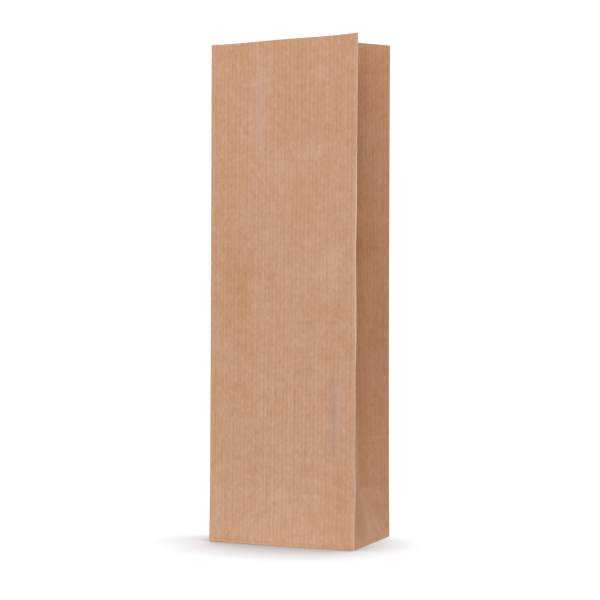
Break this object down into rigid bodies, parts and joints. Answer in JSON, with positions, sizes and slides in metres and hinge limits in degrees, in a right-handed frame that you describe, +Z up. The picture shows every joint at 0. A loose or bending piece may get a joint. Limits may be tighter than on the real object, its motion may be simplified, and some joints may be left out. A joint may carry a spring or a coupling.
{
  "type": "block bottom paper bag",
  "caption": "Slim block bottom bag of ribbed brown kraft paper, open at the top and standing on its flat base, with folded-in side gussets.",
  "frame": {"origin": "middle of the flat base, on the surface that the bag stands on", "axes": "+Z up to the open mouth, -Y towards the front panel, X along the bag's width"},
  "size_m": [0.0823, 0.0522, 0.254],
  "materials": {
    "kraft_paper": "matte ribbed brown kraft paper"
  },
  "bodies": {
    "root": {"paper_bag": "kraft_paper"}
  },
  "joints": []
}
